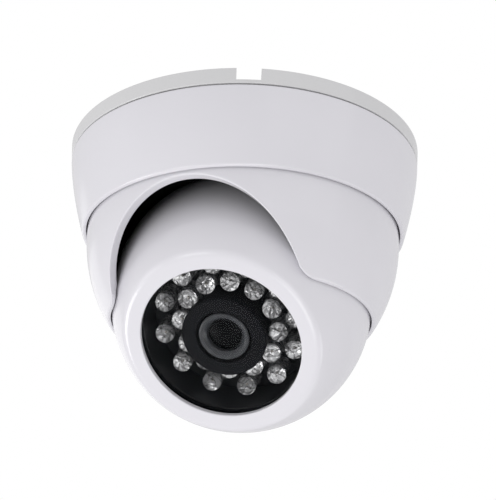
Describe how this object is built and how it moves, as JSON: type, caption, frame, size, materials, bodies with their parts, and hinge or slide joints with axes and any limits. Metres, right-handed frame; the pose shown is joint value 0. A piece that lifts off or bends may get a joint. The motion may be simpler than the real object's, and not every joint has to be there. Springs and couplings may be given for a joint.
{
  "type": "dome cctv camera",
  "caption": "Ceiling dome security camera: round base, cover ring, panning shroud and a tilting camera ball with infrared LEDs behind a window.",
  "frame": {"origin": "centre of the ceiling face, the flat side of the base that is screwed to the ceiling", "axes": "+Z out of the ceiling face, so the camera hangs in -Z; at rest the lens faces -Y and looks 49.5 degrees below the horizon"},
  "size_m": [0.0934, 0.0934, 0.0764],
  "materials": {
    "white_plastic": "satin moulded white, slightly cool",
    "base_plastic": "fine matt moulded white",
    "black_plastic": "matt black",
    "black_rubber": "matt",
    "felt": "pressed felt",
    "steel": "zinc plated",
    "board_black": "black solder mask",
    "board_green": "green solder mask",
    "led_epoxy": "clear moulded epoxy",
    "window_glass": "clear polished",
    "lens_glass": "coated, almost black",
    "sensor": "glossy chip",
    "cable_jacket": "matt"
  },
  "bodies": {
    "base": {"base_plate": "base_plastic", "cable_grommet": "black_rubber"},
    "cover": {"cover_ring": "white_plastic", "pan_washer": "felt"},
    "shroud": {"shroud": "white_plastic", "pan_retainer": "base_plastic", "retainer_screw_1": "steel", "retainer_screw_2": "steel", "retainer_screw_3": "steel", "tilt_pin_right": "steel", "tilt_pin_left": "steel", "tilt_washer_right": "black_rubber", "tilt_washer_left": "black_rubber"},
    "ball": {"ball_front_shell": "white_plastic", "ball_rear_cap": "white_plastic", "cable_gland": "black_rubber", "window_glass": "window_glass", "window_seal": "black_rubber", "window_bezel": "black_plastic", "led_board": "board_black", "lens_sleeve": "black_rubber", "lens_holder": "black_plastic", "camera_board": "board_green", "image_sensor": "sensor", "jumper_cable": "cable_jacket", "board_spacer_right": "base_plastic", "board_spacer_left": "base_plastic", "board_screw_1": "steel", "board_screw_2": "steel", "board_screw_3": "steel", "board_screw_4": "steel", "cap_screw_1": "steel", "cap_screw_2": "steel", "cap_screw_3": "steel", "ir_led_01": "led_epoxy", "ir_led_02": "led_epoxy", "ir_led_03": "led_epoxy", "ir_led_04": "led_epoxy", "ir_led_05": "led_epoxy", "ir_led_06": "led_epoxy", "ir_led_07": "led_epoxy", "ir_led_08": "led_epoxy", "ir_led_09": "led_epoxy", "ir_led_10": "led_epoxy", "ir_led_11": "led_epoxy", "ir_led_12": "led_epoxy", "ir_led_13": "led_epoxy", "ir_led_14": "led_epoxy", "ir_led_15": "led_epoxy", "ir_led_16": "led_epoxy", "ir_led_17": "led_epoxy", "ir_led_18": "led_epoxy", "ir_led_19": "led_epoxy", "ir_led_20": "led_epoxy", "ir_led_21": "led_epoxy", "ir_led_22": "led_epoxy", "ir_led_23": "led_epoxy", "ir_led_24": "led_epoxy"},
    "lens": {"lens_barrel": "black_plastic", "lens_front_glass": "lens_glass"}
  },
  "joints": [
    {"name": "cover_twist", "type": "hinge", "parent": "base", "child": "cover", "pos_m": [0, 0, -0.01], "axis": [0, 0, 1], "range_deg": [0, 20]},
    {"name": "pan", "type": "hinge", "parent": "cover", "child": "shroud", "pos_m": [0, 0, -0.0268], "axis": [0, 0, 1], "range_deg": [-175, 175]},
    {"name": "tilt", "type": "hinge", "parent": "shroud", "child": "ball", "pos_m": [0, 0, -0.043], "axis": [1, 0, 0], "range_deg": [-29.5, 40.5]},
    {"name": "focus", "type": "hinge", "parent": "ball", "child": "lens", "pos_m": [0, 0, -0.043], "axis": [0, -0.6494, -0.7604], "range_deg": [-180, 180]}
  ]
}
